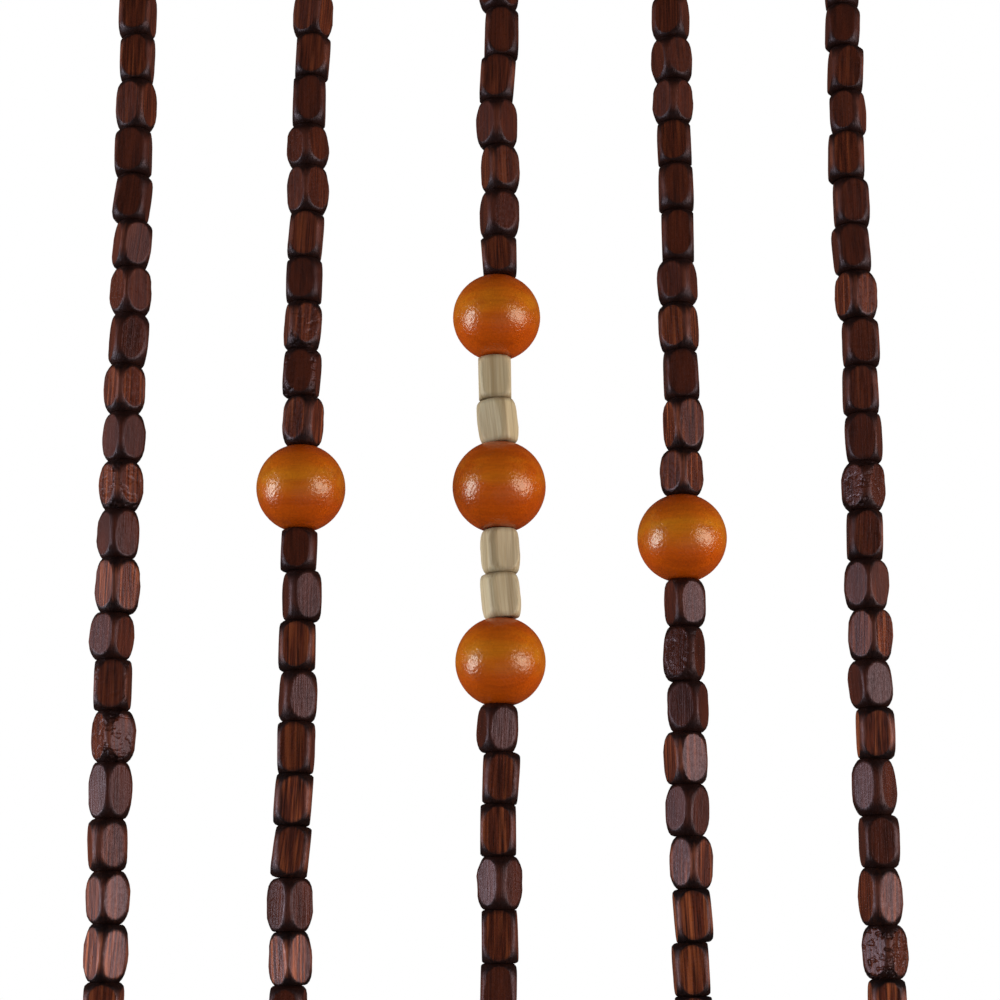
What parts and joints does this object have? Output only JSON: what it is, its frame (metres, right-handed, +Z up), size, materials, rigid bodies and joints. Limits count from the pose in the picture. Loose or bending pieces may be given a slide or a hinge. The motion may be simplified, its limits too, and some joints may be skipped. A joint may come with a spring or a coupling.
{
  "type": "bead curtain",
  "caption": "Cut-length panel of a bead curtain: hanging strands of stained bamboo beads and turned balls under a plain heading strip.",
  "frame": {"origin": "middle of the heading strip's top edge", "axes": "+Z up, -Y towards the viewer, +X to the viewer's right"},
  "size_m": [0.186, 0.0188, 0.3126],
  "materials": {
    "dark_bamboo": "dark stained, satin, lengthwise grain",
    "pale_bamboo": "bare, smooth, lengthwise grain",
    "orange_ball": "turned, orange stained, gloss lacquer",
    "heading_and_cord": "dark stained strip with dark cord"
  },
  "bodies": {
    "root": {"strand1_run1": "dark_bamboo", "strand2_ball1": "orange_ball", "strand2_run1": "dark_bamboo", "strand2_run2": "dark_bamboo", "strand3_ball1": "orange_ball", "strand3_ball2": "orange_ball", "strand3_ball3": "orange_ball", "strand3_pale1": "pale_bamboo", "strand3_pale2": "pale_bamboo", "strand3_pale3": "pale_bamboo", "strand3_pale4": "pale_bamboo", "strand3_run1": "dark_bamboo", "strand3_run2": "dark_bamboo", "strand4_ball1": "orange_ball", "strand4_run1": "dark_bamboo", "strand4_run2": "dark_bamboo", "strand5_run1": "dark_bamboo", "strings": "heading_and_cord"}
  },
  "joints": []
}
